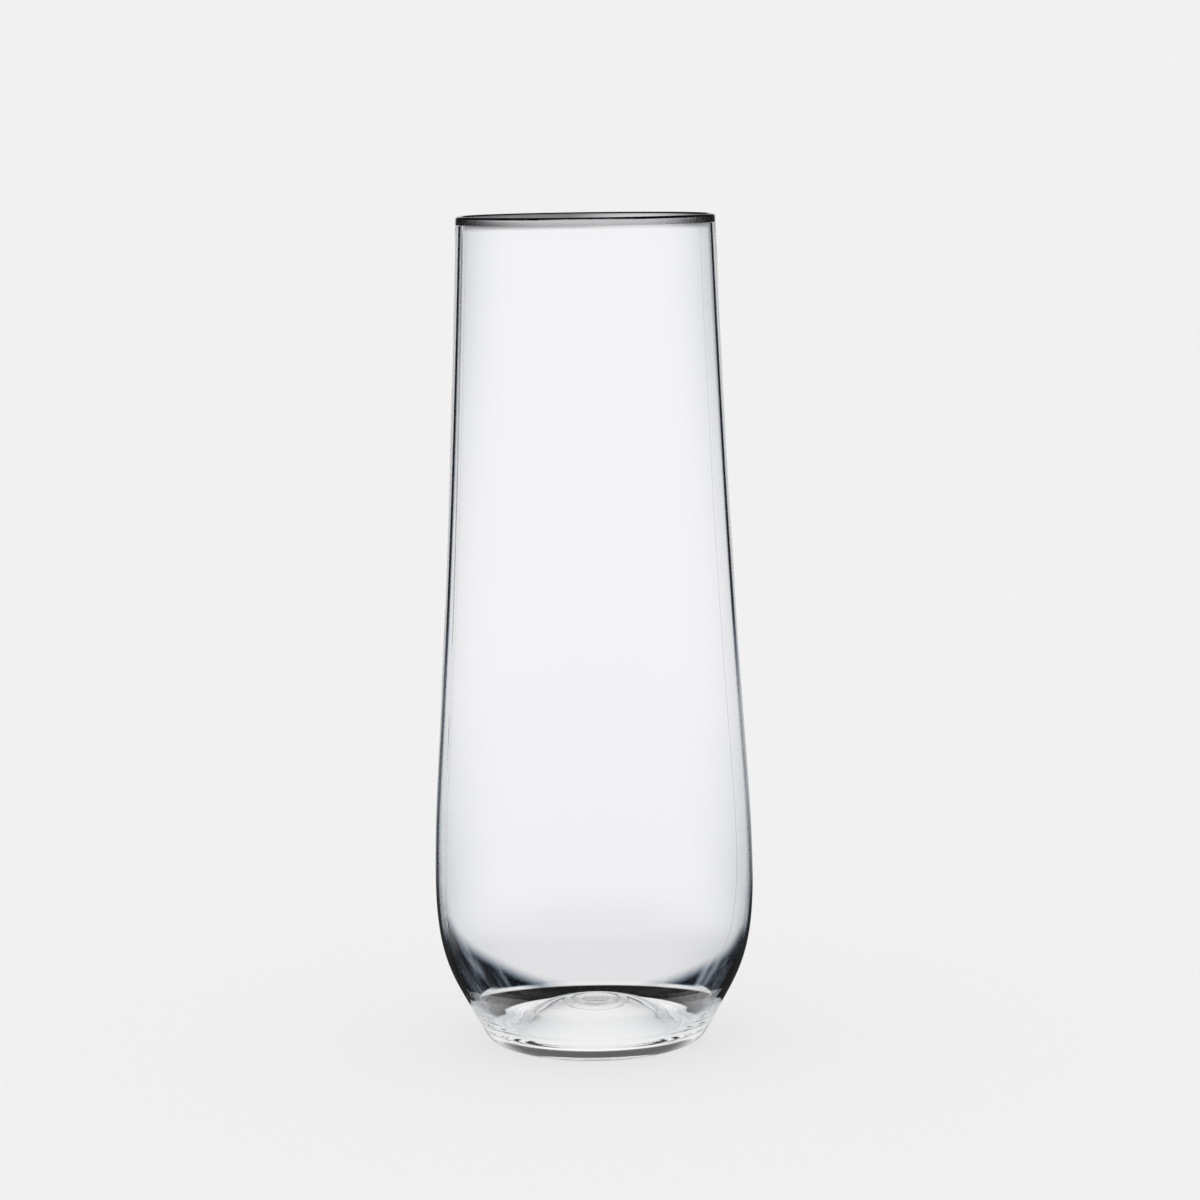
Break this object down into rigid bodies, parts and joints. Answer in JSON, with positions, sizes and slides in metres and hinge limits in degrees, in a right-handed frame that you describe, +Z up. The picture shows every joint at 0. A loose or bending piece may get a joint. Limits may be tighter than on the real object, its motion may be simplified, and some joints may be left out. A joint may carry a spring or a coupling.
{
  "type": "stemless champagne flute",
  "caption": "Clear plastic stemless champagne flute: tall tapered wall, round belly, coned heel, pushed-up base, full round drinking lip.",
  "frame": {"origin": "centre of the plane that the foot stands on", "axes": "+Z up along the axis of turning, towards the mouth; the flute is round, so +X and +Y are free"},
  "size_m": [0.0564, 0.0564, 0.146],
  "materials": {
    "clear_plastic": "clear, polished by the mould, very slightly wavy"
  },
  "bodies": {
    "root": {"rim_lip": "clear_plastic", "upper_wall": "clear_plastic", "lower_wall": "clear_plastic", "heel": "clear_plastic", "foot_ring": "clear_plastic", "punt_dome": "clear_plastic", "gate_mark": "clear_plastic"}
  },
  "joints": []
}
